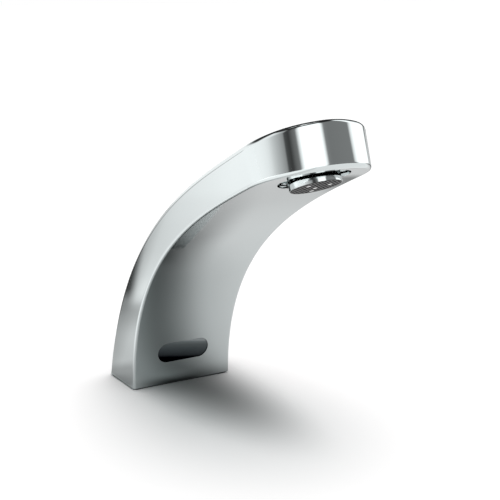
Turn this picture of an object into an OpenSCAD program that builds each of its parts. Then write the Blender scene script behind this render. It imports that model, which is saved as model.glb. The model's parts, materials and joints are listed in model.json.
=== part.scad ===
// Deck-mounted sensor tap with a slab-shaped arched spout.
// The deck is z = 0, the spout reaches towards -Y, and its sides face -X and +X.

/* [Spout] */
// Width of the spout from side to side
spout_w = 56; // [54:1:66]
// Depth of the foot from front to back
foot_depth = 30; // [29:0.5:36]
// Reach from the middle of the foot to the tip of the underside
arch_reach = 154.5; // [140:1:180]
// Rise from the foot to the tip of the underside
arch_rise = 133; // [122:1:155]
// Slope of the underside at the tip, from level
tip_lean = 28; // [24:0.5:32]
// Slope of the top at the tip, from level
top_lean = 29.7; // [26:0.5:34]
// Backward lean of the end face, from upright
end_lean = 22.7; // [18:0.5:28]
// Forward lean of the back at the foot, from upright
back_lean = 13.2; // [10:0.5:15]
// Thickness of the spout at the tip
tip_t = 18.6; // [18:0.2:23]
// Length of the rounded nose
nose_l = 27.2; // [22:0.5:34]
// Rounding of the front and underside edges
edge_r = 1.4; // [0.6:0.1:2]
// Rounding of the underside edge round the nose
nose_edge_r = 4.6; // [2:0.2:5]
// Rounding of the back and top edges
top_edge_r = 2.7; // [1:0.1:3]
// Rounding of the top edge round the nose
nose_top_r = 2; // [1:0.1:3]
// Thickness of the casting's walls
wall = 2.6; // [2:0.1:2.8]

/* [Sensor] */
// Height of the window's middle along the front face
window_up = 16.9; // [15.5:0.1:19]
// Width of the window
window_w = 29; // [27:0.5:30]
// Height of the window
window_h = 10.8; // [9.6:0.2:11.4]
// Distance between the two optical axes
eye_gap = 14; // [11:0.5:15.5]

/* [Aerator] */
// Distance from the tip back to the outlet's axis
outlet_back = 21.5; // [20:0.5:26]
// Radius of the recess round the aerator
recess_r = 15.5; // [14.6:0.1:16.5]
// Radius of the aerator's outlet barrel
barrel_r = 11.2; // [10:0.1:11.3]
// Drop of the outlet below the underside
outlet_drop = 3.6; // [2:0.2:6]
// Radius of the aerator's thread
thread_r = 12; // [11.6:0.1:12.6]
// Pitch of the square cells in the outlet
cell_pitch = 1.6; // [1.4:0.1:3]
// Notches in the key ring
key_notches = 8; // [4:1:12]

/* [Valve] */
// Distance up the front face to the valve
valve_up = 39.5; // [38.5:0.5:42]
// Length of the valve body
valve_body_l = 14; // [13.4:0.2:15]
// Thickness of the valve, front to back
valve_t = 13.2; // [12.8:0.1:13.6]
// Height of the valve
valve_h = 14.6; // [14.4:0.2:16]
// Radius of the seat's bore
seat_bore_r = 1.4; // [0.8:0.1:1.6]
// Stroke of the plunger
stroke = 1.2; // [0.8:0.1:1.6]
// Radius of the plunger
plunger_r = 3.3; // [3:0.1:3.4]
// Turns of the return spring
spring_turns = 7; // [5:1:9]

/* [Foot] */
// Thickness of the gasket under the foot
gasket_t = 0.8; // [0.6:0.1:2]
// Thickness of the base plate
plate_t = 6; // [5:0.5:6.5]
// Tapping radius of the stud's M8 hole
stud_r = 3.4; // [3.3:0.05:3.5]
// Tapping radius of the inlet's M10 x 1 hole
inlet_r = 4.5; // [4.2:0.1:4.6]
// Distance of the inlet from the middle
inlet_x = 6; // [5.8:0.1:6.2]
// Outer radius of the inlet pipe
pipe_r = 3; // [2.6:0.1:3.1]
// Outer radius of the spout hose
hose_r = 3.5; // [3:0.1:3.7]

/* [Hidden] */

overrun = 1;            // how far a cut runs past what it cuts
gap = 0.15;             // clearance of a piece in its pocket
run_gap = 0.06;         // radial clearance of a turning or sliding fit
fine_fn = 72;
small_fn = 32;
tube_sides = 16;

// Shares of the rise and reach that shape the arch's two cubic curves
front_pull_share = 0.656;
under_pull_share = 0.272;
back_pull_share = 0.787;
top_pull_share = 0.334;
// How far in front of the back the hose's line starts and rises, and where it then runs between the curves
hose_off_back = [15, 7.94];
hose_line_shares = [0.62, 0.64];

arc_steps = 120;
side_steps = 26;
nose_steps = 14;
edge_steps = 3;
hollow_steps = 16;
hose_steps = 26;

foot_z = gasket_t;
plate_z = foot_z + plate_t;
hollow_w = spout_w - 2*wall;

// Curves in the plane of symmetry, as [y, z]

function on_curve(p, t) =
    pow(1 - t, 3)*p[0] + 3*t*pow(1 - t, 2)*p[1] + 3*t*t*(1 - t)*p[2] + pow(t, 3)*p[3];
function along(p, t) =
    let (d = pow(1 - t, 2)*(p[1] - p[0]) + 2*t*(1 - t)*(p[2] - p[1]) + t*t*(p[3] - p[2])) d/norm(d);
function across(p, t) = let (d = along(p, t)) [d[1], -d[0]];
function lean_of(d) = atan2(-d[0], d[1]);
function up_at(lean) = [-sin(lean), cos(lean)];

under_tip = [-arch_reach, foot_z + arch_rise];
top_tip = under_tip + tip_t*up_at(-end_lean);
front = [
    [-foot_depth/2, foot_z],
    [-foot_depth/2, foot_z + front_pull_share*arch_rise],
    under_tip - under_pull_share*arch_reach*[-cos(tip_lean), sin(tip_lean)],
    under_tip
];
back = [
    [foot_depth/2, foot_z],
    [foot_depth/2, foot_z] + back_pull_share*arch_rise*up_at(back_lean),
    top_tip - top_pull_share*arch_reach*[-cos(top_lean), sin(top_lean)],
    top_tip
];
hose_line = concat(
    [for (i = [0, 1]) back[i] + hose_off_back[i]*unit(front[i] - back[i])],
    [for (i = [2, 3]) front[i] + hose_line_shares[i - 2]*(back[i] - front[i])]
);

// Distance along the front curve against the curve's parameter
arc = [
    for (i = 0, s = 0; i <= arc_steps;
         s = s + norm(on_curve(front, (i + 1)/arc_steps) - on_curve(front, i/arc_steps)), i = i + 1)
        [s, i/arc_steps]
];
arch_l = arc[arc_steps][0];
function t_at(s) = lookup(s, arc);

// Where the pieces sit

window_t = t_at(window_up);
window_at = on_curve(front, window_t);
window_lean = lean_of(along(front, window_t));

hose_from_t = t_at(valve_up + valve_h/2);
valve_dir = along(hose_line, hose_from_t);
valve_lean = lean_of(valve_dir);
valve_at = on_curve(hose_line, hose_from_t) - valve_h/2*valve_dir;

outlet_at = on_curve(front, t_at(arch_l - outlet_back));
outlet_lean = 90 - lean_of(along(front, t_at(arch_l - outlet_back)));
socket_web = 6;         // depth of the hose's socket in the solid nose
hollow_end = arch_l - outlet_back - recess_r - socket_web;
hose_to_t = t_at(hollow_end);
hose_dir = along(hose_line, hose_to_t);
hose_end = on_curve(hose_line, hose_to_t);

module in_window() { translate([0, window_at[0], window_at[1]]) rotate([window_lean, 0, 0]) children(); }
module in_valve() { translate([0, valve_at[0], valve_at[1]]) rotate([valve_lean, 0, 0]) children(); }
module in_outlet() { translate([0, outlet_at[0], outlet_at[1]]) rotate([-outlet_lean, 0, 0]) children(); }
module in_hose_end() {
    translate([0, hose_end[0], hose_end[1]]) rotate([lean_of(hose_dir), 0, 0]) children();
}

// Children drawn upwards from z = 0 run inwards from depth d behind the front face
module inward(d) { translate([0, d, 0]) rotate([-90, 0, 0]) children(); }
// Children drawn upwards from z = 0 run towards +X from x
module to_right(x) { translate([x, 0, 0]) rotate([0, 90, 0]) children(); }
// A profile drawn as [y, z] becomes a bar of width w along X
module bar(w) { rotate([90, 0, 90]) linear_extrude(w, center = true) children(); }

module ring(r_out, r_in, h, fn = fine_fn) {
    difference() {
        cylinder(r = r_out, h = h, $fn = fn);
        translate([0, 0, -overrun]) cylinder(r = r_in, h = h + 2*overrun, $fn = fn);
    }
}

module stadium(w, h) {
    union() {
        square([w - h, h], center = true);
        for (side = [-1, 1]) translate([side*(w - h)/2, 0]) circle(d = h, $fn = fine_fn);
    }
}

module torus(r, wire_r) {
    rotate_extrude($fn = fine_fn) translate([r, 0]) circle(r = wire_r, $fn = small_fn);
}

// Hollow tube round a line in a plane of constant x; path holds [y, z] points
function line_dir(path, i) =
    let (n = len(path) - 1, d = path[min(i + 1, n)] - path[max(i - 1, 0)]) d/norm(d);
function tube_ring(path, x, r, i) =
    let (d = line_dir(path, i), c = path[i])
    [for (k = [0:tube_sides - 1]) let (a = 360*k/tube_sides)
        [x + r*cos(a), c[0] + r*sin(a)*d[1], c[1] - r*sin(a)*d[0]]];

module tube(path, x, r_out, r_in) {
    n = len(path);
    m = tube_sides;
    outer = [for (i = [0:n - 1]) each tube_ring(path, x, r_out, i)];
    inner = [for (i = [0:n - 1]) each tube_ring(path, x, r_in, i)];
    o = n*m;
    walls = [
        for (i = [0:n - 2], k = [0:m - 1]) let (k2 = (k + 1)%m, a = i*m + k, b = i*m + k2)
            each [[a, a + m, b + m], [a, b + m, b],
                  [o + a, o + b + m, o + a + m], [o + a, o + b, o + b + m]]
    ];
    ends = [
        for (k = [0:m - 1]) let (k2 = (k + 1)%m, e = (n - 1)*m)
            each [[k, k2, o + k2], [k, o + k2, o + k],
                  [e + k, o + e + k2, e + k2], [e + k, o + e + k, o + e + k2]]
    ];
    polyhedron(concat(outer, inner), concat(walls, ends), convexity = 8);
}

// Solid round lead along points in space
function unit(v) = v/norm(v);
module lead(path, r, sides = 8) {
    n = len(path);
    points = [
        for (i = [0:n - 1])
            let (d = unit(path[min(i + 1, n - 1)] - path[max(i - 1, 0)]),
                 u = unit(cross(d, abs(d[0]) < 0.7 ? [1, 0, 0] : [0, 1, 0])), v = cross(d, u))
            for (k = [0:sides - 1]) path[i] + r*(cos(360*k/sides)*u + sin(360*k/sides)*v)
    ];
    walls = [
        for (i = [0:n - 2], k = [0:sides - 1])
            let (a = i*sides + k, b = i*sides + (k + 1)%sides)
            each [[a, b + sides, b], [a, a + sides, b + sides]]
    ];
    first = [for (k = [0:sides - 1]) k];
    last = [for (k = [sides - 1:-1:0]) (n - 1)*sides + k];
    polyhedron(points, concat([first], walls, [last]), convexity = 8);
}
// Smooth curve in space through four control points
function space_curve(p, steps) = [for (i = [0:steps]) on_curve(p, i/steps)];

/* Casting */

// One point of the slab's half outline: half width, place along the arch and distance in from the face
function station(j, g, r_side, r_nose) =
    let (phi = 90*max(0, j - side_steps)/nose_steps,
         r = r_side + (r_nose - r_side)*pow(sin(phi), 2),
         inset = r*(1 - sin(g)),
         straight = arch_l - nose_l,
         s = j < side_steps ? straight*j/side_steps : straight + (nose_l - inset)*sin(phi))
    [(spout_w/2 - inset)*cos(phi), t_at(s), r*(1 - cos(g))];

function slab_point(st, under) =
    let (a = on_curve(front, st[1]), b = on_curve(back, st[1]), u = (b - a)/norm(b - a),
         p = under ? a + st[2]*u : b - st[2]*u)
    [st[0], p[0], p[1]];

function slab_loop(g, under) =
    let (n = side_steps + nose_steps,
         half = [for (j = [0:n]) slab_point(
             station(j, g, under ? edge_r : top_edge_r, under ? nose_edge_r : nose_top_r), under)])
    concat(
        [for (p = half) [-p[0], p[1], p[2]]],
        [for (j = [n - 1:-1:0]) half[j]]
    );

module slab() {
    turns = [for (k = [0:edge_steps]) 90*k/edge_steps];
    loops = concat(
        [for (g = turns) slab_loop(g, true)],
        [for (k = [edge_steps:-1:0]) slab_loop(turns[k], false)]
    );
    layers = len(loops);
    m = len(loops[0]);
    tip_i = (m - 1)/2;
    top = (layers - 1)*m;
    walls = [
        for (l = [0:layers - 2], i = [0:m - 2]) let (a = l*m + i, b = (l + 1)*m + i)
            each [[a, b + 1, a + 1], [a, b, b + 1]]
    ];
    foot = [
        for (l = [0:layers - 2]) let (a = l*m, b = (l + 1)*m)
            each [[a, b + m - 1, b], [a, a + m - 1, b + m - 1]]
    ];
    underside = [
        for (i = [0:tip_i - 1]) let (c = m - 1 - i)
            each i == tip_i - 1 ? [[i, i + 1, c]] : [[i, c - 1, c], [i, i + 1, c - 1]]
    ];
    topside = [
        for (i = [0:tip_i - 1]) let (c = m - 1 - i)
            each i == tip_i - 1 ? [[top + i, top + c, top + i + 1]]
                                : [[top + i, top + c, top + c - 1], [top + i, top + c - 1, top + i + 1]]
    ];
    polyhedron([for (l = loops) each l], concat(walls, foot, underside, topside), convexity = 12);
}

// Side view of the space inside the walls, drawn in by d from the curves
function hollow_outline(d, s_from, s_to) =
    let (t0 = t_at(s_from), t1 = t_at(s_to), n = hollow_steps,
         ts = [for (i = [0:n]) t0 + (t1 - t0)*i/n])
    concat(
        [for (t = ts) on_curve(front, t) + d*across(front, t)],
        [for (i = [n:-1:0]) on_curve(back, ts[i]) - d*across(back, ts[i])]
    );

plate_screw_r = 1.5;
plate_screw_l = 14;
plate_head_r = 2.9;
plate_screw_x = spout_w/2 - wall - plate_head_r;
plate_screw_y = 2.2;
boss_r = 3.4;
boss_h = 10;

// Sensor housing, held by two screws in pads above the window
lens_lip = 1.8;
housing_side = 0.7;
housing_rim = 0.55;
housing_w = window_w + 2*lens_lip + 2*housing_side;
housing_h = window_h + 2*lens_lip + 2*housing_rim;
ear_r = 3;
ear_gap = 0.3;
pad_r = 2.9;
pad_place_share = 0.26;
pad_x = pad_place_share*window_w;
pad_up = housing_h/2 + ear_r + ear_gap;
pad_depth = 5.2;
sensor_screw_r = 1.25;
sensor_screw_l = 5;
sensor_head_r = 2.2;
sensor_head_h = 1.4;

recess_depth = 3.8;
washer_t = 1.2;
shoulder_h = 8.2;       // height of the socket's shoulder above the underside
chamber_r = 9.6;
chamber_roof = 3;
chamber_h = tip_t - chamber_roof;
waterway_r = 2.4;
hose_socket_r = hose_r + run_gap;
hose_wall = 0.8;
hose_in_r = hose_r - hose_wall;
seal_wire_r = 0.7;
seal_hug = 0.05;        // how far the seal's ring stands off the hose
seal_major_r = hose_r + seal_wire_r + seal_hug;
seal_groove_w = 1.8;

module spout_body() {
    color([0.78, 0.79, 0.80]) difference() {
        union() {
            difference() {
                slab();
                bar(hollow_w) polygon(concat(
                    [[-foot_depth/2 + wall, -overrun]],
                    hollow_outline(wall, 0, hollow_end),
                    [[foot_depth/2 - wall, -overrun]]
                ));
            }
            for (side = [-1, 1]) {
                translate([side*plate_screw_x, plate_screw_y, plate_z])
                    cylinder(r = boss_r, h = boss_h, $fn = fine_fn);
                in_window() translate([side*pad_x, 0, pad_up])
                    inward(wall/2) cylinder(r = pad_r, h = pad_depth - wall/2, $fn = fine_fn);
            }
        }
        in_window() inward(-overrun) linear_extrude(wall + 3*overrun) stadium(window_w, window_h);
        in_window() inward(lens_seat) linear_extrude(2*overrun)
            square([window_w + 2*lens_lip + 2*gap, window_h + 2*lens_lip + 2*gap], center = true);
        for (side = [-1, 1]) {
            translate([side*plate_screw_x, plate_screw_y, 0])
                cylinder(r = plate_screw_r + run_gap,
                         h = foot_z + plate_screw_l + overrun, $fn = fine_fn);
            in_window() translate([side*pad_x, 0, pad_up])
                inward(pad_depth - sensor_screw_l + sensor_ear_t + overrun)
                cylinder(r = sensor_screw_r + run_gap, h = sensor_screw_l, $fn = fine_fn);
        }
        in_outlet() {
            translate([0, 0, -outlet_drop])
                cylinder(r = recess_r, h = outlet_drop + recess_depth, $fn = fine_fn);
            cylinder(r = thread_r + run_gap, h = shoulder_h, $fn = fine_fn);
            cylinder(r = chamber_r, h = chamber_h, $fn = fine_fn);
        }
        in_hose_end() {
            translate([0, 0, -2*overrun])
                cylinder(r = hose_socket_r, h = socket_web + overrun, $fn = fine_fn);
            cylinder(r = waterway_r, h = socket_web + recess_r - chamber_r + overrun, $fn = fine_fn);
            translate([0, 0, seal_place])
                cylinder(r = seal_major_r + seal_wire_r + run_gap, h = seal_groove_w, $fn = fine_fn);
        }
    }
}

/* Foot */

gasket_inset = 0.8;
gasket_corner_r = 1.5;
gasket_hole_w = 34.6;
gasket_hole_d = 18;
plate_gap = 0.2;
fitting_y = 1.5;
fitting_shank_r = 6.2;
fitting_flange_r = 7;
fitting_flange_t = 1.8;
fitting_top_r = 4.4;
fitting_top_h = 2.6;
pipe_socket_depth = 3;
inlet_thread_l = 5.6;
filter_pocket_r = 3.4;
filter_t = 1.2;
socket_x = -4.6;
socket_y = 6;
socket_r = 3.2;
socket_l = 10;
socket_flange_r = 3.6;
socket_flange_t = 1.2;
socket_bore_r = 2.4;
socket_bore_l = 6;
pin_r = 0.4;
pin_circle_r = 1.2;
pin_l = 4.5;
stud_place_share = 0.54;
stud_x = stud_place_share*plate_screw_x;
stud_rim = 0.6;
stud_boss_r = stud_r + stud_rim;
stud_boss_h = 2;

module rounded(w, d, r) {
    offset(r = r, $fn = small_fn) square([w - 2*r, d - 2*r], center = true);
}

module foot_gasket() {
    color([0.06, 0.06, 0.07]) linear_extrude(gasket_t) difference() {
        rounded(spout_w - 2*gasket_inset, foot_depth - 2*gasket_inset, gasket_corner_r);
        rounded(gasket_hole_w, gasket_hole_d, gasket_corner_r);
    }
}

module plate_screw_cut(extra) {
    cylinder(r = plate_screw_r + extra, h = plate_screw_l, $fn = fine_fn);
    cylinder(r1 = plate_head_r + extra, r2 = plate_screw_r + extra,
             h = plate_head_r - plate_screw_r, $fn = fine_fn);
}

module base_plate() {
    t_top = t_at(plate_t);
    front_y = -foot_depth/2 + wall + plate_gap;
    back_low = foot_depth/2 - (wall + plate_gap)/cos(back_lean);
    back_high = on_curve(back, t_top) - (wall + plate_gap)*across(back, t_top);
    color([0.72, 0.62, 0.38]) difference() {
        union() {
            bar(hollow_w - 2*plate_gap) polygon([
                [front_y, foot_z], [back_low, foot_z], [back_high[0], plate_z], [front_y, plate_z]
            ]);
            translate([-stud_x, 0, plate_z - overrun])
                cylinder(r = stud_boss_r, h = stud_boss_h + overrun, $fn = fine_fn);
        }
        translate([-stud_x, 0, 0])
            cylinder(r = stud_r, h = plate_z + stud_boss_h + overrun, $fn = fine_fn);
        translate([inlet_x, fitting_y, 0])
            cylinder(r = fitting_shank_r + gap, h = plate_z + overrun, $fn = fine_fn);
        translate([socket_x, socket_y, 0])
            cylinder(r = socket_r + gap, h = plate_z + overrun, $fn = fine_fn);
        for (side = [-1, 1]) translate([side*plate_screw_x, plate_screw_y, foot_z]) {
            plate_screw_cut(gap);
            translate([0, 0, -overrun]) cylinder(r = plate_head_r + gap, h = overrun, $fn = fine_fn);
        }
    }
}

module base_screws() {
    color([0.70, 0.71, 0.72]) for (side = [-1, 1]) translate([side*plate_screw_x, plate_screw_y, foot_z])
        difference() {
            union() {
                cylinder(r1 = plate_head_r, r2 = plate_screw_r,
                         h = plate_head_r - plate_screw_r, $fn = fine_fn);
                cylinder(r = plate_screw_r, h = plate_screw_l, $fn = fine_fn);
            }
            cylinder(r = hex_key_r, h = hex_key_depth, $fn = 6);
        }
}
hex_key_r = 1.44;
hex_key_depth = 1.6;

module inlet_fitting() {
    top_z = plate_z + fitting_flange_t + fitting_top_h;
    color([0.76, 0.63, 0.34]) translate([inlet_x, fitting_y, 0]) difference() {
        union() {
            translate([0, 0, foot_z])
                cylinder(r = fitting_shank_r, h = plate_t + overrun, $fn = fine_fn);
            translate([0, 0, plate_z])
                cylinder(r = fitting_flange_r, h = fitting_flange_t, $fn = fine_fn);
            translate([0, 0, plate_z]) cylinder(r = fitting_top_r, h = top_z - plate_z, $fn = fine_fn);
        }
        cylinder(r = inlet_r, h = foot_z + inlet_thread_l, $fn = fine_fn);
        cylinder(r = filter_pocket_r, h = foot_z + inlet_thread_l + filter_t + gap, $fn = fine_fn);
        cylinder(r = pipe_r - pipe_wall, h = top_z, $fn = fine_fn);
        translate([0, 0, top_z - pipe_socket_depth])
            cylinder(r = pipe_r + run_gap, h = pipe_socket_depth + overrun, $fn = fine_fn);
    }
}
pipe_wall = 0.8;

module inlet_filter() {
    hole_r = filter_pocket_r/6;
    color([0.80, 0.80, 0.78]) translate([inlet_x, fitting_y, foot_z + inlet_thread_l]) difference() {
        cylinder(r = filter_pocket_r - gap, h = filter_t, $fn = fine_fn);
        translate([0, 0, -overrun]) cylinder(r = hole_r, h = filter_t + 2*overrun, $fn = small_fn);
        for (k = [0:5]) rotate([0, 0, 60*k]) translate([3.4*hole_r, 0, -overrun])
            cylinder(r = hole_r, h = filter_t + 2*overrun, $fn = small_fn);
    }
}

port_back = 2.2;        // how far the valve's inlet port lies behind its axis
pipe_steps = 12;

// The inlet pipe's line rises from the fitting and bends forward into the valve's lower port
function valve_point(y, z) =
    valve_at + [y*cos(valve_lean) - z*sin(valve_lean), y*sin(valve_lean) + z*cos(valve_lean)];
pipe_from = [fitting_y, plate_z + fitting_flange_t + fitting_top_h];
pipe_to = valve_point(port_back, -valve_h/2);
pipe_rise = pipe_to[1] - pipe_from[1];
pipe_start_share = 0.3;
pipe_end_share = 0.6;
pipe_curve = [
    pipe_from,
    pipe_from + [0, pipe_start_share*pipe_rise],
    pipe_to - pipe_end_share*pipe_rise*valve_dir,
    pipe_to
];

module inlet_pipe() {
    insert = pipe_socket_depth - gap;
    color([0.76, 0.63, 0.34]) tube(concat(
        [pipe_from - [0, insert]],
        [for (i = [0:pipe_steps]) on_curve(pipe_curve, i/pipe_steps)],
        [pipe_to + insert*valve_dir]
    ), inlet_x, pipe_r, pipe_r - pipe_wall);
}

module power_socket() {
    color([0.10, 0.10, 0.11]) translate([socket_x, socket_y, foot_z]) difference() {
        union() {
            cylinder(r = socket_r, h = socket_l, $fn = fine_fn);
            translate([0, 0, plate_t])
                cylinder(r = socket_flange_r, h = socket_flange_t, $fn = fine_fn);
        }
        translate([0, 0, -overrun])
            cylinder(r = socket_bore_r, h = socket_bore_l + overrun, $fn = fine_fn);
        for (k = [0:2]) rotate([0, 0, 120*k]) translate([pin_circle_r, 0, 0])
            cylinder(r = pin_r, h = socket_bore_l + pin_seat, $fn = small_fn);
    }
}
pin_seat = 1.5;

module socket_pins() {
    color([0.85, 0.70, 0.35]) translate([socket_x, socket_y, foot_z + socket_bore_l + pin_seat - pin_l])
        for (k = [0:2]) rotate([0, 0, 120*k]) translate([pin_circle_r, 0, 0])
            cylinder(r = pin_r, h = pin_l, $fn = small_fn);
}

/* Valve, along X: the seat faces right and the coil stands to the right of the body */

counterbore_l = 2.1;
port_wall = 0.24;
body_right = inlet_x + pipe_r + run_gap + port_wall + counterbore_l;
body_left = body_right - valve_body_l;
counterbore_r = 5.6;

tube_flange_t = 1.2;
valve_chamber_r = 4.6;
valve_chamber_l = 5.4;
seat_flange_r = 3.2;
seat_flange_t = 1.4;
seat_nozzle_r = 2.2;
seat_nozzle_l = 2;
gallery_r = 1.8;
riser_r = 1.9;
spigot_r = hose_in_r*cos(180/tube_sides) - run_gap;
spigot_l = 5;
chamber_left = body_right - valve_chamber_l;
seat_face = chamber_left + seat_nozzle_l;

core_wall = 0.5;
core_gap = 0.08;
core_in_r = plunger_r + core_gap;
core_out_r = core_in_r + core_wall;
yoke_t = 1.2;
magnet_t = 1.6;
valve_end_gap = 0.8;    // room left between the yoke and the side wall
pole_right = spout_w/2 - wall - valve_end_gap;
coil_l = pole_right - body_right - magnet_t - 2*yoke_t;
magnet_r = 6;
coil_left = body_right + yoke_t;
magnet_left = coil_left + coil_l;
yoke_right = magnet_left + magnet_t;
coil_r = 6.1;
bobbin_t = 0.9;
bobbin_wall = 0.45;
yoke_half_t = 6.4;
yoke_gap = 0.1;
yoke_step = 0.2;
yoke_top = coil_r + yoke_gap + yoke_t;
yoke_bottom = valve_h/2 - yoke_step;
yoke_screw_y = 5.05;
yoke_screw_z = 5.6;
yoke_screw_r = 0.9;
yoke_screw_l = 4;
yoke_head_r = 1.3;
yoke_head_h = 1;

seal_t = 2;
seal_proud = 0.6;
seal_r = 2.4;
plunger_left = seat_face + seal_proud;
pole_gap = 0.2;         // gap left at the pole when the plunger is drawn in
pole_share = 0.3;
moving_l = pole_right - plunger_left - stroke - pole_gap;
plunger_l = moving_l - pole_share*moving_l;
plunger_right = plunger_left + plunger_l;
pole_left = plunger_right + stroke + pole_gap;
spring_pocket_r = 1.95;
pocket_share = 0.59;
spring_pocket_l = pocket_share*plunger_l;
spring_r = 1.6;
spring_wire_r = 0.16;
ring_wire_r = 0.45;

module valve_body() {
    color([0.76, 0.63, 0.34]) in_valve() difference() {
        union() {
            translate([body_left, -valve_t/2, -valve_h/2]) cube([valve_body_l, valve_t, valve_h]);
            translate([0, 0, valve_h/2 - overrun])
                cylinder(r = spigot_r, h = spigot_l + overrun, $fn = fine_fn);
        }
        to_right(chamber_left)
            cylinder(r = valve_chamber_r, h = valve_chamber_l + overrun, $fn = fine_fn);
        to_right(body_right - counterbore_l)
            cylinder(r = counterbore_r, h = counterbore_l + overrun, $fn = fine_fn);
        to_right(chamber_left - seat_flange_t)
            cylinder(r = seat_flange_r + run_gap, h = seat_flange_t + overrun, $fn = fine_fn);
        to_right(-riser_r) cylinder(r = gallery_r, h = chamber_left + riser_r, $fn = fine_fn);
        cylinder(r = riser_r, h = valve_h/2 + spigot_l + overrun, $fn = fine_fn);
        translate([inlet_x, port_back, -valve_h/2 - overrun]) {
            cylinder(r = pipe_r + run_gap, h = pipe_socket_depth + overrun, $fn = fine_fn);
            cylinder(r = pipe_r - pipe_wall, h = valve_h/2 + overrun - port_back, $fn = fine_fn);
        }
        for (side = [-1, 1]) translate([0, side*yoke_screw_y, -yoke_screw_z])
            to_right(coil_left - yoke_screw_l - gap)
                cylinder(r = yoke_screw_r + run_gap, h = yoke_screw_l, $fn = small_fn);
    }
}

module valve_seat() {
    color([0.90, 0.88, 0.80]) in_valve() to_right(chamber_left - seat_flange_t) difference() {
        union() {
            cylinder(r = seat_flange_r, h = seat_flange_t, $fn = fine_fn);
            cylinder(r = seat_nozzle_r, h = seat_flange_t + seat_nozzle_l, $fn = fine_fn);
        }
        translate([0, 0, -overrun])
            cylinder(r = seat_bore_r, h = seat_flange_t + seat_nozzle_l + 2*overrun, $fn = fine_fn);
    }
}

module core_tube() {
    color([0.80, 0.80, 0.81]) in_valve() to_right(body_right - tube_flange_t) difference() {
        union() {
            cylinder(r = counterbore_r - run_gap, h = tube_flange_t, $fn = fine_fn);
            cylinder(r = core_out_r, h = pole_right - body_right + tube_flange_t, $fn = fine_fn);
        }
        translate([0, 0, -overrun])
            cylinder(r = core_in_r,
                     h = pole_right - body_right + tube_flange_t + 2*overrun, $fn = fine_fn);
    }
}

module core_seal() {
    color([0.08, 0.08, 0.08]) in_valve()
        to_right(body_right - tube_flange_t - ring_wire_r)
            torus(valve_chamber_r + ring_wire_r + run_gap, ring_wire_r);
}

module coil_bobbin() {
    tube_r = core_out_r + run_gap;
    color([0.16, 0.16, 0.17]) in_valve() to_right(coil_left) {
        ring(tube_r + bobbin_wall, tube_r, coil_l);
        ring(coil_r, tube_r, bobbin_t);
        translate([0, 0, coil_l - bobbin_t]) ring(coil_r, tube_r, bobbin_t);
    }
}

module coil_winding() {
    color([0.72, 0.40, 0.20]) in_valve() to_right(coil_left + bobbin_t)
        ring(coil_r - gap, core_out_r + run_gap + bobbin_wall, coil_l - 2*bobbin_t);
}

module latch_magnet() {
    color([0.35, 0.35, 0.37]) in_valve() to_right(magnet_left)
        ring(magnet_r, core_out_r + run_gap, magnet_t);
}

module coil_yoke() {
    color([0.60, 0.61, 0.62]) in_valve() difference() {
        union() {
            for (x = [body_right, yoke_right])
                translate([x, -yoke_half_t, -yoke_bottom])
                    cube([yoke_t, 2*yoke_half_t, yoke_bottom + yoke_top]);
            translate([body_right, -yoke_half_t, yoke_top - yoke_t])
                cube([yoke_right + yoke_t - body_right, 2*yoke_half_t, yoke_t]);
        }
        to_right(body_right - overrun)
            cylinder(r = core_out_r + run_gap,
                     h = yoke_right + yoke_t - body_right + 2*overrun, $fn = fine_fn);
        for (side = [-1, 1]) translate([0, side*yoke_screw_y, -yoke_screw_z])
            to_right(body_right - overrun)
            cylinder(r = yoke_screw_r + run_gap, h = yoke_t + 2*overrun, $fn = small_fn);
    }
}

module yoke_screws() {
    color([0.70, 0.71, 0.72]) in_valve() for (side = [-1, 1])
        translate([0, side*yoke_screw_y, -yoke_screw_z]) {
        to_right(coil_left - yoke_screw_l) cylinder(r = yoke_screw_r, h = yoke_screw_l, $fn = small_fn);
        to_right(coil_left) cylinder(r = yoke_head_r, h = yoke_head_h, $fn = small_fn);
    }
}

module pole_piece() {
    color([0.66, 0.67, 0.68]) in_valve() to_right(pole_left)
        cylinder(r = core_in_r, h = pole_right - pole_left, $fn = fine_fn);
}

module valve_plunger() {
    color([0.62, 0.63, 0.65]) in_valve() difference() {
        to_right(plunger_left) cylinder(r = plunger_r, h = plunger_l, $fn = fine_fn);
        to_right(plunger_left - overrun)
            cylinder(r = seal_r, h = seal_t - seal_proud + overrun, $fn = fine_fn);
        to_right(plunger_right - spring_pocket_l)
            cylinder(r = spring_pocket_r, h = spring_pocket_l + overrun, $fn = fine_fn);
    }
}

module plunger_seal() {
    color([0.12, 0.12, 0.12]) in_valve() to_right(seat_face)
        cylinder(r = seal_r, h = seal_t, $fn = fine_fn);
}

module plunger_spring() {
    free_l = pole_left - plunger_right + spring_pocket_l - 2*spring_wire_r;
    steps = 10;
    start = plunger_right - spring_pocket_l + spring_wire_r;
    color([0.78, 0.78, 0.80]) in_valve() lead([
        for (k = [0:spring_turns*steps]) let (a = 360*k/steps)
            [start + free_l*k/(spring_turns*steps), spring_r*cos(a), spring_r*sin(a)]
    ], spring_wire_r, 6);
}

// Foam block between the valve and the rear wall
module valve_pad() {
    pad_l = 9;
    color([0.20, 0.20, 0.21]) intersection() {
        in_valve() translate([body_left + overrun, valve_t/2, -valve_h/2])
            cube([pad_l, foot_depth, valve_h]);
        bar(spout_w) polygon(hollow_outline(wall, 0, hollow_end));
    }
}

/* Water line to the nose */

seal_place = 1.6;       // how deep in the hose's socket the seal's groove lies
hose_insert = socket_web - 2*overrun - gap;

module spout_hose() {
    start = on_curve(hose_line, hose_from_t);
    curve_from_t = t_at(valve_up + valve_h/2 + 2*spigot_l);
    t_step = (hose_to_t - curve_from_t)/hose_steps;
    color([0.88, 0.88, 0.86]) tube(concat(
        [start, start + spigot_l*valve_dir],
        [for (i = [0:hose_steps]) on_curve(hose_line, curve_from_t + i*t_step)],
        [hose_end + hose_insert*hose_dir]
    ), 0, hose_r, hose_in_r);
}

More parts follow.
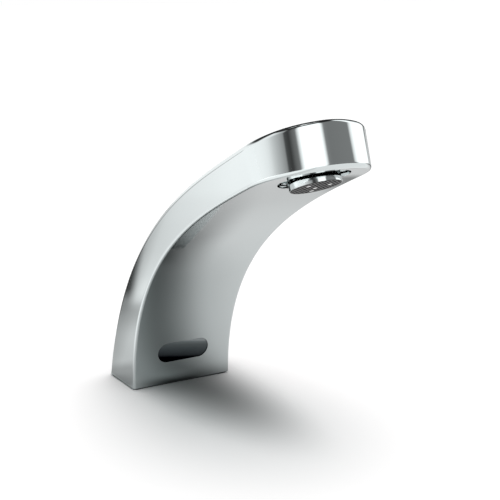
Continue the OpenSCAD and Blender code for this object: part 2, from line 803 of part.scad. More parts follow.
module hose_seal() {
    color([0.08, 0.08, 0.08]) in_hose_end() translate([0, 0, seal_place + seal_groove_w/2])
        torus(seal_major_r, seal_wire_r);
}

/* Sensor module behind the window */

lens_inset = 0.35;
lens_step = 0.2;
lens_seat = wall - lens_step;
lens_gasket_t = 0.8;
lens_flange_t = 1.2;
housing_front = lens_seat + lens_gasket_t + lens_flange_t;
housing_wall = 1.2;
housing_depth = 5.8;
housing_back = housing_front + housing_depth;
cover_t = 1;
cavity_w = housing_w - 2*housing_wall;
cavity_h = housing_h - 2*housing_wall;
board_depth = 3.6;
board_front = housing_front + board_depth;
board_t = 1;
sensor_ear_t = 1.6;
eye_r = 2.2;
eye_l = 3.2;
chip_w = 6;
chip_t = 0.9;

module sensor_lens() {
    color([0.10, 0.11, 0.12, 0.85]) in_window() union() {
        inward(lens_inset) linear_extrude(lens_seat + lens_gasket_t - lens_inset + lens_flange_t)
            stadium(window_w - 2*gap, window_h - 2*gap);
        inward(lens_seat + lens_gasket_t) linear_extrude(lens_flange_t)
            stadium(window_w + 2*lens_lip, window_h + 2*lens_lip);
    }
}

module lens_gasket() {
    color([0.07, 0.07, 0.07]) in_window() inward(lens_seat) linear_extrude(lens_gasket_t) difference() {
        stadium(window_w + 2*lens_lip, window_h + 2*lens_lip);
        stadium(window_w + gap, window_h + gap);
    }
}

module sensor_housing() {
    color([0.09, 0.09, 0.10]) in_window() difference() {
        union() {
            inward(housing_front) linear_extrude(housing_back - housing_front)
                square([housing_w, housing_h], center = true);
            for (side = [-1, 1]) translate([side*pad_x, 0, 0]) {
                translate([0, 0, pad_up]) inward(pad_depth)
                    cylinder(r = ear_r, h = sensor_ear_t, $fn = fine_fn);
                translate([-ear_r, pad_depth, 0]) cube([2*ear_r, sensor_ear_t, pad_up]);
            }
        }
        inward(housing_front - overrun) linear_extrude(housing_back - housing_front + 2*overrun)
            square([cavity_w, cavity_h], center = true);
        for (side = [-1, 1]) translate([side*pad_x, 0, pad_up]) inward(pad_depth - overrun)
            cylinder(r = sensor_screw_r + gap, h = sensor_ear_t + 2*overrun, $fn = fine_fn);
    }
}

module sensor_screws() {
    color([0.70, 0.71, 0.72]) in_window() for (side = [-1, 1]) translate([side*pad_x, 0, pad_up]) {
        inward(pad_depth + sensor_ear_t - sensor_screw_l + overrun + gap)
            cylinder(r = sensor_screw_r, h = sensor_screw_l - overrun - gap, $fn = small_fn);
        inward(pad_depth + sensor_ear_t) cylinder(r = sensor_head_r, h = sensor_head_h, $fn = small_fn);
    }
}

module sensor_board() {
    color([0.08, 0.32, 0.18]) in_window() inward(board_front) linear_extrude(board_t)
        square([cavity_w - 2*gap, cavity_h - 2*gap], center = true);
}

module controller_chip() {
    color([0.12, 0.12, 0.13]) in_window() inward(board_front + board_t) {
        linear_extrude(chip_t) square([chip_w, chip_w], center = true);
        for (side = [-1, 1]) translate([side*1.6*chip_w, 0, 0])
            linear_extrude(chip_t) square([chip_w/3, chip_w/2], center = true);
    }
}

module eye(side) {
    in_window() translate([side*eye_gap/2, 0, 0]) inward(board_front - eye_l) union() {
        translate([0, 0, eye_r/2]) cylinder(r = eye_r, h = eye_l - eye_r/2, $fn = fine_fn);
        translate([0, 0, 0]) cylinder(r1 = eye_r/2, r2 = eye_r, h = eye_r/2, $fn = fine_fn);
    }
}

module ir_emitter() { color([0.55, 0.60, 0.75]) eye(-1); }
module ir_receiver() { color([0.10, 0.08, 0.12]) eye(1); }

module light_baffle() {
    color([0.05, 0.05, 0.05]) in_window() difference() {
        inward(housing_front) linear_extrude(board_front - housing_front)
            square([cavity_w - 2*gap, cavity_h - 2*gap], center = true);
        for (side = [-1, 1]) translate([side*eye_gap/2, 0, 0]) inward(housing_front - overrun)
            cylinder(r = eye_r + gap, h = board_front - housing_front + 2*overrun, $fn = fine_fn);
    }
}

module housing_cover() {
    color([0.11, 0.11, 0.12]) in_window() inward(housing_back) linear_extrude(cover_t)
        square([housing_w, housing_h], center = true);
}

/* Leads held inside */

lead_r = 1;
lead_steps = 10;
function window_point(x, z, d) = [
    x,
    window_at[0] + d*cos(window_lean) - z*sin(window_lean),
    window_at[1] + d*sin(window_lean) + z*cos(window_lean)
];
cover_back = housing_back + cover_t;
lead_reach = 5;

// A lead leaves both ends straight, by its own radius, along unit vectors u and v
function lead_path(from, u, to, v) = concat(
    [from],
    space_curve([from + lead_r*u, from + lead_reach*u, to + lead_reach*v, to + lead_r*v], lead_steps),
    [to]
);

module sensor_lead() {
    from = [socket_x, socket_y, foot_z + socket_l];
    to = window_point(socket_x, 0, cover_back);
    away = unit(window_point(socket_x, 0, cover_back + lead_r) - to);
    color([0.15, 0.15, 0.16]) lead(lead_path(from, [0, 0, 1], to, away), lead_r);
}

module coil_lead() {
    from_x = cavity_w/2 - 2*lead_r;
    to_x = coil_left + coil_l/2;
    from = window_point(from_x, 0, cover_back);
    away = unit(window_point(from_x, 0, cover_back + lead_r) - from);
    under = valve_point(0, -coil_r);
    to = [to_x, under[0], under[1]];
    color([0.60, 0.10, 0.08]) lead(lead_path(from, away, to, [0, -valve_dir[0], -valve_dir[1]]), lead_r);
}

/* Aerator, drawn up from the underside along the outlet's axis */

shell_wall = 1.2;
rim_lip = 0.5;
rim_t = 0.8;
key_ring_gap = 0.9;
key_ring_r = recess_r - key_ring_gap;
key_ring_low = 1.4;
key_ring_t = 1.8;
notch_w = 3.6;
shell_top = shoulder_h - washer_t;
insert_r = barrel_r - shell_wall;
grid_t = 3.2;
grid_bar = 0.35;
screen_t = 0.6;
jet_t = 1.6;
regulator_t = 2.4;

module aerator_shell() {
    color([0.80, 0.81, 0.83]) in_outlet() difference() {
        rotate_extrude($fn = fine_fn) polygon([
            [insert_r - rim_lip, -outlet_drop], [barrel_r, -outlet_drop], [barrel_r, key_ring_low],
            [key_ring_r, key_ring_low], [key_ring_r, key_ring_low + key_ring_t],
            [thread_r, key_ring_low + key_ring_t], [thread_r, shell_top], [insert_r, shell_top],
            [insert_r, -outlet_drop + rim_t], [insert_r - rim_lip, -outlet_drop + rim_t]
        ]);
        for (k = [0:key_notches - 1]) rotate([0, 0, 360*k/key_notches])
            translate([barrel_r + run_gap, -notch_w/2, key_ring_low - overrun])
                cube([recess_r, notch_w, key_ring_t/2 + overrun]);
    }
}

module aerator_seal() {
    color([0.10, 0.10, 0.10]) in_outlet() translate([0, 0, shell_top])
        ring(thread_r - gap, chamber_r, washer_t);
}

module outlet_grid() {
    hole = cell_pitch - grid_bar;
    reach = insert_r - gap - grid_bar;
    n = ceil(reach/cell_pitch);
    corner = hole/sqrt(2);
    color([0.16, 0.17, 0.18]) in_outlet() translate([0, 0, -outlet_drop + rim_t]) linear_extrude(grid_t)
        difference() {
            circle(r = insert_r - gap, $fn = fine_fn);
            for (i = [-n:n], j = [-n:n])
                if (norm([i, j])*cell_pitch + corner < reach)
                    rotate(45) translate([i*cell_pitch, j*cell_pitch]) square(hole, center = true);
        }
}

module perforated(r, t, hole_r, rows) {
    difference() {
        cylinder(r = r, h = t, $fn = fine_fn);
        for (row = [1:rows], k = [0:6*row - 1]) rotate([0, 0, 60*k/row])
            translate([row*r/(rows + 1), 0, -overrun])
            cylinder(r = hole_r, h = t + 2*overrun, $fn = small_fn);
    }
}

screen_low = -outlet_drop + rim_t + grid_t;
jet_low = screen_low + screen_t;
regulator_low = shell_top - regulator_t;

module mixing_screen() {
    color([0.75, 0.76, 0.78]) in_outlet() translate([0, 0, screen_low])
        perforated(insert_r - gap, screen_t, insert_r/16, 3);
}

module jet_plate() {
    color([0.85, 0.85, 0.83]) in_outlet() translate([0, 0, jet_low]) union() {
        perforated(insert_r - gap, jet_t, insert_r/20, 2);
        translate([0, 0, jet_t])
            ring(insert_r - gap, insert_r - gap - shell_wall, regulator_low - jet_low - jet_t);
    }
}

module flow_regulator() {
    color([0.30, 0.45, 0.62]) in_outlet() translate([0, 0, regulator_low])
        perforated(insert_r - gap, regulator_t, insert_r/12, 1);
}

spout_body();
foot_gasket();
base_plate();
base_screws();
inlet_fitting();
inlet_filter();
inlet_pipe();
power_socket();
socket_pins();
valve_body();
valve_seat();
core_tube();
core_seal();
coil_bobbin();
coil_winding();
latch_magnet();
coil_yoke();
yoke_screws();
pole_piece();
valve_plunger();
plunger_seal();
plunger_spring();
valve_pad();
spout_hose();
hose_seal();
sensor_lens();
lens_gasket();
sensor_housing();
sensor_screws();
sensor_board();
controller_chip();
ir_emitter();
ir_receiver();
light_baffle();
housing_cover();
sensor_lead();
coil_lead();
aerator_seal();
aerator_shell();
flow_regulator();
jet_plate();
mixing_screen();
outlet_grid();
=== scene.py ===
"""Looks of the sensor tap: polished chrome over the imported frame, on a pale floor.

Lengths are in millimetres up to the point where they become meshes, matrices or texture places in metres.
"""
import json
import math

import bmesh
import bpy
from mathutils import Matrix, Vector
from mathutils.bvhtree import BVHTree
from mathutils.interpolate import poly_3d_calc


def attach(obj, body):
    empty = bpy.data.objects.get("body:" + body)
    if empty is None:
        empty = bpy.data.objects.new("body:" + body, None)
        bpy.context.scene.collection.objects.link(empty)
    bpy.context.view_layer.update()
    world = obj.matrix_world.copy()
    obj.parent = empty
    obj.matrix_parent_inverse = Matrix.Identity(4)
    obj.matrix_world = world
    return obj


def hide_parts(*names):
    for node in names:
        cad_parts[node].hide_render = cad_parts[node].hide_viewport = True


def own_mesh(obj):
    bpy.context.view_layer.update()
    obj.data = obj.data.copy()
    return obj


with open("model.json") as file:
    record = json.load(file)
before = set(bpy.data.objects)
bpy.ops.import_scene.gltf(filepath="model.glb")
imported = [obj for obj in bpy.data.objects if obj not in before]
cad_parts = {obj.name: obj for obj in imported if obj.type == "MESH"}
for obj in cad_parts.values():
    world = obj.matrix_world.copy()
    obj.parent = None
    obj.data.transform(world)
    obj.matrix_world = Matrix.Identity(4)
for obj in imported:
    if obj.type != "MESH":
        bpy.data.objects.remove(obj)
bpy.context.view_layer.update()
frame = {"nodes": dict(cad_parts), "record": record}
scene = bpy.context.scene
scene.view_settings.view_transform = "Standard"

MM = 0.001

# ---------------------------------------------------------------- camera

CAM_YAW = math.radians(30.901)
CAM_PITCH = math.radians(13.187)
CAM_AT = Vector((-0.2616, -0.5208, 0.20365))
SENSOR_WIDTH, FOCAL_LENGTH = 36.0, 82.63
NEAREST, FARTHEST = 0.01, 50.0
cam_data = bpy.data.cameras.new("camera")
cam_data.sensor_width = SENSOR_WIDTH
cam_data.lens = FOCAL_LENGTH
cam_data.clip_start = NEAREST
cam_data.clip_end = FARTHEST
cam = bpy.data.objects.new("camera", cam_data)
scene.collection.objects.link(cam)
look = Vector((math.sin(CAM_YAW) * math.cos(CAM_PITCH),
               math.cos(CAM_YAW) * math.cos(CAM_PITCH),
               -math.sin(CAM_PITCH)))
cam.location = CAM_AT
cam.rotation_euler = look.to_track_quat("-Z", "Y").to_euler()
scene.camera = cam

# ---------------------------------------------------------------- materials

# where a noise's lower and upper tones are set, since its values crowd round one half
NOISE_LOW, NOISE_HIGH = 0.3, 0.7
NOISE_ROUGHNESS, SLOW_DETAIL = 0.55, 2.0


def new_material(name):
    """A material with one Principled shader: itself, its nodes, its links and the shader."""
    mat = bpy.data.materials.new(name)
    mat.use_nodes = True
    nodes = mat.node_tree.nodes
    nodes.clear()
    out = nodes.new("ShaderNodeOutputMaterial")
    shader = nodes.new("ShaderNodeBsdfPrincipled")
    mat.node_tree.links.new(shader.outputs[0], out.inputs[0])
    return mat, nodes, mat.node_tree.links, shader


def coords(nodes, links, scale=(1, 1, 1)):
    """The piece's own coordinates in metres, stretched by scale."""
    tex = nodes.new("ShaderNodeTexCoord")
    mapping = nodes.new("ShaderNodeMapping")
    mapping.inputs["Scale"].default_value = scale
    links.new(tex.outputs["Object"], mapping.inputs["Vector"])
    return mapping.outputs["Vector"]


def noise(nodes, links, vector, scale, detail=3.0):
    """A noise with scale cells to the metre."""
    node = nodes.new("ShaderNodeTexNoise")
    node.inputs["Scale"].default_value = scale
    node.inputs["Detail"].default_value = detail
    node.inputs["Roughness"].default_value = NOISE_ROUGHNESS
    links.new(vector, node.inputs["Vector"])
    return node.outputs["Fac"]


def ramp(nodes, links, fac, stops):
    """A colour ramp: stops pair a place from 0 to 1 with a grey level or a colour."""
    node = nodes.new("ShaderNodeValToRGB")
    links.new(fac, node.inputs["Fac"])
    elements = node.color_ramp.elements
    while len(elements) < len(stops):
        elements.new(1.0)
    for el, (pos, val) in zip(elements, stops):
        el.position = pos
        el.color = (*val, 1.0) if isinstance(val, tuple) else (val, val, val, 1.0)
    return node.outputs["Color"]


def varied(nodes, links, fac, low, high):
    """Two tones of a material, mixed by a noise."""
    return ramp(nodes, links, fac, [(NOISE_LOW, low), (NOISE_HIGH, high)])


def bump(nodes, links, height, strength, distance, shader):
    """Relief from a height: distance is its depth in metres."""
    node = nodes.new("ShaderNodeBump")
    node.inputs["Strength"].default_value = strength
    node.inputs["Distance"].default_value = distance
    links.new(height, node.inputs["Height"])
    links.new(node.outputs["Normal"], shader.inputs["Normal"])


METAL_DRIFT, METAL_DRIFT_SCALE, METAL_GRAIN_DEPTH = 0.965, 14.0, 0.02 * MM
PLASTIC_DRIFT, PLASTIC_DRIFT_SCALE, PLASTIC_GRAIN_DEPTH = 0.82, 30.0, 0.03 * MM
METAL_DETAIL = 4.0


def metal(name, color, rough, spread=0.03, grain=(1, 1, 1), grain_scale=900.0, bump_strength=0.02):
    """Metal with a fine grain in its roughness and height and a slow drift in its tone."""
    mat, nodes, links, shader = new_material(name)
    shader.inputs["Metallic"].default_value = 1.0
    vec = coords(nodes, links, grain)
    fine = noise(nodes, links, vec, grain_scale, METAL_DETAIL)
    slow = noise(nodes, links, coords(nodes, links), METAL_DRIFT_SCALE, SLOW_DETAIL)
    darker = tuple(c * METAL_DRIFT for c in color)
    links.new(varied(nodes, links, slow, darker, color), shader.inputs["Base Color"])
    rough_low, rough_high = max(rough - spread, 0.0), rough + spread
    links.new(varied(nodes, links, fine, rough_low, rough_high), shader.inputs["Roughness"])
    bump(nodes, links, fine, bump_strength, METAL_GRAIN_DEPTH, shader)
    return mat


def plastic(name, color, rough, spread=0.06, grain_scale=2500.0, bump_strength=0.15, coat=0.0):
    """Moulded plastic or rubber with a fine texture."""
    mat, nodes, links, shader = new_material(name)
    vec = coords(nodes, links)
    fine = noise(nodes, links, vec, grain_scale)
    slow = noise(nodes, links, vec, PLASTIC_DRIFT_SCALE, SLOW_DETAIL)
    darker = tuple(c * PLASTIC_DRIFT for c in color)
    links.new(varied(nodes, links, slow, darker, color), shader.inputs["Base Color"])
    rough_low, rough_high = max(rough - spread, 0.0), rough + spread
    links.new(varied(nodes, links, fine, rough_low, rough_high), shader.inputs["Roughness"])
    shader.inputs["Coat Weight"].default_value = coat
    bump(nodes, links, fine, bump_strength, PLASTIC_GRAIN_DEPTH, shader)
    return mat


chrome = metal("polished_chrome", (0.553, 0.592, 0.594), 0.05, 0.01, bump_strength=0.002)
black_rubber = plastic("black_rubber", (0.022, 0.022, 0.024), 0.62)
brass = metal("machined_brass", (0.80, 0.60, 0.30), 0.26, 0.07, (1, 1, 9), 260.0, 0.08)
steel = metal("stainless_steel", (0.62, 0.62, 0.61), 0.24, 0.06, (1, 1, 7), 420.0, 0.05)
iron = metal("bare_iron", (0.45, 0.45, 0.45), 0.38, 0.08, (1, 1, 1), 520.0, 0.10)
copper = metal("coil_copper", (0.78, 0.38, 0.18), 0.30, 0.05, (60, 1, 1), 60.0, 0.35)
black_plastic = plastic("black_plastic", (0.025, 0.025, 0.027), 0.42)
white_plastic = plastic("white_plastic", (0.78, 0.78, 0.75), 0.38)
blue_plastic = plastic("blue_plastic", (0.10, 0.24, 0.42), 0.36)
clear_plastic = plastic("clear_plastic", (0.42, 0.46, 0.62), 0.12, 0.03, coat=0.5)
board_green = plastic("circuit_green", (0.02, 0.12, 0.05), 0.30, 0.08, 700.0, 0.25, 0.4)
sleeve = plastic("lead_sleeve", (0.03, 0.03, 0.032), 0.50)


def level_between(nodes, links, value, low, high):
    """0 at low and 1 at high, clamped."""
    node = nodes.new("ShaderNodeMapRange")
    node.inputs["From Min"].default_value = low
    node.inputs["From Max"].default_value = high
    links.new(value, node.inputs["Value"])
    return node.outputs["Result"]


# the window's own smoke tint is real; the change of its tones from black at its lower left to grey at its top
# is painted shade and reflection, at these heights in metres
LENS_SLOPE, LENS_BLACK_AT, LENS_CLEAR_AT = 0.16, 0.011, 0.023
LENS_PAINTED_SHADE_TONES = [(0.0, (0.0, 0.0, 0.0)), (0.22, (0.0, 0.0, 0.001)), (0.32, (0.035, 0.040, 0.045)),
              (0.62, (0.085, 0.097, 0.104)), (0.8, (0.13, 0.145, 0.15)), (0.93, (0.22, 0.24, 0.245)),
              (1.0, (0.42, 0.44, 0.45))]
LENS_SHINE = [(0.2, 0.0), (0.4, 0.16)]
LENS_GRAIN, LENS_ROUGH, LENS_RELIEF = 900.0, (0.045, 0.075), 0.01


def smoked_and_painted_shade(name):
    """Smoked acrylic, dark in its own right, with painted shade and reflection: grey along the top, black at
    the lower left.
    """
    mat, nodes, links, shader = new_material(name)
    vec = coords(nodes, links)
    split = nodes.new("ShaderNodeSeparateXYZ")
    links.new(vec, split.inputs[0])
    slope = nodes.new("ShaderNodeMath")
    slope.operation = "MULTIPLY_ADD"
    slope.inputs[1].default_value = LENS_SLOPE
    links.new(split.outputs["X"], slope.inputs[0])
    links.new(split.outputs["Z"], slope.inputs[2])
    level = level_between(nodes, links, slope.outputs[0], LENS_BLACK_AT, LENS_CLEAR_AT)
    links.new(ramp(nodes, links, level, LENS_PAINTED_SHADE_TONES), shader.inputs["Base Color"])
    fine = noise(nodes, links, vec, LENS_GRAIN)
    links.new(varied(nodes, links, fine, *LENS_ROUGH), shader.inputs["Roughness"])
    links.new(ramp(nodes, links, level, LENS_SHINE), shader.inputs["Specular IOR Level"])
    bump(nodes, links, fine, LENS_RELIEF, PLASTIC_GRAIN_DEPTH, shader)
    return mat


# the cells' near-black is painted shade in the mesh's holes; the tabs' near-white is a painted highlight
BAR_TONES, CELL_SHADE_TONES, TAB_HIGHLIGHT_TONES = (0.13, 0.19), (0.001, 0.003), (0.9, 1.0)
MESH_GRAIN, MESH_ROUGH, MESH_SHINE, MESH_RELIEF = 1800.0, (0.40, 0.55), [(0.0, 0.0), (1.0, 0.2)], 0.1
# how far above the bars' faces the tabs' painted highlight begins to show, and where it shows fully
TAB_FROM, TAB_TO = 0.03 * MM, 0.06 * MM


def blend_tones(nodes, links, fac, a, b):
    """Colour a where fac is 0, b where it is 1."""
    node = nodes.new("ShaderNodeMix")
    node.data_type = "RGBA"
    links.new(fac, node.inputs["Factor"])
    links.new(a, node.inputs["A"])
    links.new(b, node.inputs["B"])
    return node.outputs["Result"]


def mesh_look(name, axis, low, high):
    """Grey bars over cells painted black as shade, with tabs painted bright as highlights: the tone goes by
    the height along the axis.

    The cells end at low and the bars' faces begin at high, both in metres along the axis.
    """
    mat, nodes, links, shader = new_material(name)
    vec = coords(nodes, links)
    height = nodes.new("ShaderNodeVectorMath")
    height.operation = "DOT_PRODUCT"
    height.inputs[1].default_value = axis
    links.new(vec, height.inputs[0])
    fine = noise(nodes, links, vec, MESH_GRAIN)
    bars = varied(nodes, links, fine, *BAR_TONES)
    cells = varied(nodes, links, fine, *CELL_SHADE_TONES)
    tabs = varied(nodes, links, fine, *TAB_HIGHLIGHT_TONES)
    on_bar = level_between(nodes, links, height.outputs["Value"], low, high)
    on_tab = level_between(nodes, links, height.outputs["Value"], high + TAB_FROM, high + TAB_TO)
    tone = blend_tones(nodes, links, on_tab, blend_tones(nodes, links, on_bar, cells, bars), tabs)
    links.new(tone, shader.inputs["Base Color"])
    links.new(varied(nodes, links, fine, *MESH_ROUGH), shader.inputs["Roughness"])
    links.new(ramp(nodes, links, on_bar, MESH_SHINE), shader.inputs["Specular IOR Level"])
    bump(nodes, links, fine, MESH_RELIEF, PLASTIC_GRAIN_DEPTH, shader)
    return mat


# the window: smoke-tinted acrylic with painted shade and reflection
window_painted_shade = smoked_and_painted_shade("smoked_window")
grid_grey = plastic("grid_grey", (0.10, 0.105, 0.11), 0.36, 0.05, 1800.0, 0.1)

SLOT_MATERIAL = {
    "polished_chrome": chrome, "black_rubber": black_rubber, "plain_brass": brass,
    "stainless_steel": steel, "bare_iron": iron, "coil_copper": copper, "black_plastic": black_plastic,
    "white_plastic": white_plastic, "blue_plastic": blue_plastic, "clear_plastic": clear_plastic,
    "smoked_window": window_painted_shade, "circuit_green": board_green, "lead_sleeve": sleeve, "grid_grey": grid_grey,
}
for part in frame["record"]["subparts"]:
    obj = frame["nodes"][part["node"]]
    obj.data.materials.clear()
    obj.data.materials.append(SLOT_MATERIAL[part["material_slot"]])

# ---------------------------------------------------------------- the arch, as in the part's source

SPOUT_W, FOOT_DEPTH, REACH, RISE, FOOT_Z = 56.0, 30.0, 154.5, 133.0, 0.8
TIP_LEAN, TOP_LEAN, END_LEAN, BACK_LEAN = (math.radians(a) for a in (28.0, 29.7, 22.7, 13.2))
TIP_T, NOSE_L = 18.6, 27.2
EDGE_R, NOSE_EDGE_R, TOP_R, NOSE_TOP_R = 1.4, 2.4, 2.7, 2.0
WALL = 2.6
# the room inside ends this far before the tip, where the water chamber begins
CHAMBER_L = 44.0
# how far the curves' inner handles reach, as shares of the rise or the reach
FRONT_FOOT_PULL, FRONT_TIP_PULL, BACK_FOOT_PULL, BACK_TIP_PULL = 0.656, 0.272, 0.787, 0.334
ARC_STEPS = 2000


def v2(y, z):
    """A point or direction in the spout's middle plane."""
    return Vector((y, z))


under_tip = v2(-REACH, FOOT_Z + RISE)
top_tip = under_tip + TIP_T * v2(math.sin(END_LEAN), math.cos(END_LEAN))
FRONT = [v2(-FOOT_DEPTH / 2, FOOT_Z), v2(-FOOT_DEPTH / 2, FOOT_Z + FRONT_FOOT_PULL * RISE),
         under_tip - FRONT_TIP_PULL * REACH * v2(-math.cos(TIP_LEAN), math.sin(TIP_LEAN)), under_tip]
BACK = [v2(FOOT_DEPTH / 2, FOOT_Z),
        v2(FOOT_DEPTH / 2, FOOT_Z) + BACK_FOOT_PULL * RISE * v2(-math.sin(BACK_LEAN), math.cos(BACK_LEAN)),
        top_tip - BACK_TIP_PULL * REACH * v2(-math.cos(TOP_LEAN), math.sin(TOP_LEAN)), top_tip]


def on_curve(p, t):
    """The point at t on the cubic curve with the handles p."""
    return (1 - t) ** 3 * p[0] + 3 * t * (1 - t) ** 2 * p[1] + 3 * t * t * (1 - t) * p[2] + t ** 3 * p[3]


def along(p, t):
    """The direction at t along the cubic curve with the handles p."""
    d = (1 - t) ** 2 * (p[1] - p[0]) + 2 * t * (1 - t) * (p[2] - p[1]) + t * t * (p[3] - p[2])
    return d.normalized()


# length along the front curve against the curve's t
ARC = [(0.0, 0.0)]
for k in range(1, ARC_STEPS + 1):
    step = on_curve(FRONT, k / ARC_STEPS) - on_curve(FRONT, (k - 1) / ARC_STEPS)
    ARC.append((ARC[-1][0] + step.length, k / ARC_STEPS))
ARCH_L = ARC[-1][0]


def t_at(s):
    """The front curve's t at the length s."""
    lo, hi = 0, ARC_STEPS
    s = min(max(s, 0.0), ARCH_L)
    while hi - lo > 1:
        mid = (lo + hi) // 2
        if ARC[mid][0] > s:
            hi = mid
        else:
            lo = mid
    a, b = ARC[lo], ARC[hi]
    return a[1] + (b[1] - a[1]) * (s - a[0]) / (b[0] - a[0])


def axes_at(p, y_axis, z_axis):
    """A matrix with X across the spout, at p, with Y and Z as given in the middle plane."""
    return Matrix(((1, 0, 0, 0),
                   (0, y_axis.x, z_axis.x, p.x * MM),
                   (0, y_axis.y, z_axis.y, p.y * MM),
                   (0, 0, 0, 1)))


def mesh_object(name, verts, faces, smooth=True):
    """A linked object from points in metres and faces."""
    me = bpy.data.meshes.new(name)
    me.from_pydata(verts, [], faces)
    me.validate()
    me.update()
    ob = bpy.data.objects.new(name, me)
    scene.collection.objects.link(ob)
    if smooth:
        me.polygons.foreach_set("use_smooth", [True] * len(me.polygons))
    return ob


# the last of the arch as photographed: its lower lip sits a little lower, and its end face stands steeper
BEND_L = 30.0
LIP_SHIFT, CREST_SHIFT = v2(1.2, -2.3), v2(0.6, 0.1)
# the crest's t runs ahead of the underside's by up to TWIST: from TWIST_FROM before the tip it sets in over
# the next TWIST_FADE, and it eases out again at the tip
TWIST, TWIST_EASE, TWIST_FROM, TWIST_FADE = 0.026, 60.0, 75.0, 48.0


def section(s):
    """Underside and top of the shown arch at the length s, and the direction between them."""
    t = t_at(s)
    to_tip = ARCH_L - s
    bend = max(0.0, 1 - to_tip / BEND_L) ** 2
    fade = min(max((TWIST_FROM - to_tip) / TWIST_FADE, 0.0), 1.0)
    twist = TWIST * to_tip ** 2 / (to_tip ** 2 + TWIST_EASE) * fade * fade * (3 - 2 * fade)
    a = on_curve(FRONT, t) + bend * LIP_SHIFT
    b = on_curve(BACK, t + twist) + bend * CREST_SHIFT
    return a, b, (b - a).normalized()


def outward(ob):
    """Turns all faces outward."""
    bm = bmesh.new()
    bm.from_mesh(ob.data)
    bmesh.ops.recalc_face_normals(bm, faces=bm.faces)
    bm.to_mesh(ob.data)
    bm.free()


def dense_slab(side_n=190, nose_n=56, edge_n=8, cols=10):
    """The arch as a closed skin: rings from the underside's edge over the sides to the top's edge."""
    straight = ARCH_L - NOSE_L
    stations = [(straight * j / side_n, 0.0) for j in range(side_n)]
    stations += [(None, math.pi / 2 * j / nose_n) for j in range(nose_n + 1)]

    def loop(g, under):
        """Half a ring at the angle g of the edge's rounding."""
        half = []
        for s, phi in stations:
            r_side, r_nose = (EDGE_R, NOSE_EDGE_R) if under else (TOP_R, NOSE_TOP_R)
            r = r_side + (r_nose - r_side) * math.sin(phi) ** 2
            inset = r * (1 - math.sin(g))
            lift = r * (1 - math.cos(g))
            if s is None:
                s = straight + (NOSE_L - inset) * math.sin(phi)
            a, b, u = section(s)
            p = a + lift * u if under else b - lift * u
            half.append(((SPOUT_W / 2 - inset) * math.cos(phi), p.x, p.y))
        return half

    turns = [math.pi / 2 * k / edge_n for k in range(edge_n + 1)]
    rings = [loop(g, True) for g in turns] + [loop(g, False) for g in reversed(turns)]
    n = len(stations)
    verts, faces = [], []

    def add(p):
        verts.append((p[0] * MM, p[1] * MM, p[2] * MM))
        return len(verts) - 1

    index = []
    for ring in rings:
        left = [add((-x, y, z)) for x, y, z in ring[:-1]]
        tip = add((0.0, ring[-1][1], ring[-1][2]))
        right = [add(p) for p in ring[:-1]]
        index.append((left, tip, right))

    def chain(level):
        left, tip, right = index[level]
        return left + [tip] + right[::-1]

    for level in range(len(rings) - 1):
        a, b = chain(level), chain(level + 1)
        for i in range(len(a) - 1):
            faces.append((a[i], a[i + 1], b[i + 1], b[i]))
    # rungs across the underside and the top
    for level, flip in ((0, False), (len(rings) - 1, True)):
        left, tip, right = index[level]
        rows = []
        for i in range(n - 1):
            x0, x1 = verts[left[i]], verts[right[i]]
            row = [left[i]]
            for c in range(1, cols):
                f = c / cols
                verts.append((x0[0] + (x1[0] - x0[0]) * f, x0[1], x0[2]))
                row.append(len(verts) - 1)
            row.append(right[i])
            rows.append(row)
        for i in range(n - 2):
            for c in range(cols):
                q = (rows[i][c], rows[i][c + 1], rows[i + 1][c + 1], rows[i + 1][c])
                faces.append(q if not flip else q[::-1])
        for c in range(cols):
            q = (rows[-1][c], rows[-1][c + 1], tip)
            faces.append(q if not flip else q[::-1])
        if level == 0:
            first_row = rows[0]
        else:
            last_row = rows[0]
    foot_left = [left[0] for left, tip, right in index]
    foot_right = [right[0] for left, tip, right in index]
    faces.append(foot_left[::-1] + first_row[1:-1] + foot_right + last_row[1:-1][::-1])
    ob = mesh_object("spout_shell", verts, faces)
    outward(ob)
    return ob


def turned(name, profile, matrix, sides=128):
    """A turned solid from (radius, height) points that start and end on the axis."""
    rings = profile[1:-1]
    verts = [matrix @ Vector((0, 0, profile[0][1] * MM)), matrix @ Vector((0, 0, profile[-1][1] * MM))]
    for r, z in rings:
        for k in range(sides):
            a = 2 * math.pi * k / sides
            verts.append(matrix @ Vector((r * math.cos(a) * MM, r * math.sin(a) * MM, z * MM)))
    faces = []
    for k in range(sides):
        n = (k + 1) % sides
        faces.append((0, 2 + n, 2 + k))
        faces += [(2 + j * sides + k, 2 + j * sides + n, 2 + (j + 1) * sides + n, 2 + (j + 1) * sides + k)
                  for j in range(len(rings) - 1)]
        last = 2 + (len(rings) - 1) * sides
        faces.append((1, last + k, last + n))
    ob = mesh_object(name, verts, faces, smooth=False)
    outward(ob)
    return ob


MESH_R, MESH_FLOOR_T, MESH_RIM, MESH_PITCH, MESH_BAR = 10.85, 0.02, 0.25, 1.3, 0.30
BAR_TURNS, BAR_GAP = (45, -45), 0.05
# raised tabs on the mesh, which carry painted highlights
TAB_R, TAB_PROUD, TAB_SIDES = 0.95, 0.05, 24
HIGHLIGHT_TABS = ((-5.5, -3.0), (0.7, 1.8), (5.0, -3.0), (2.0, 6.8))


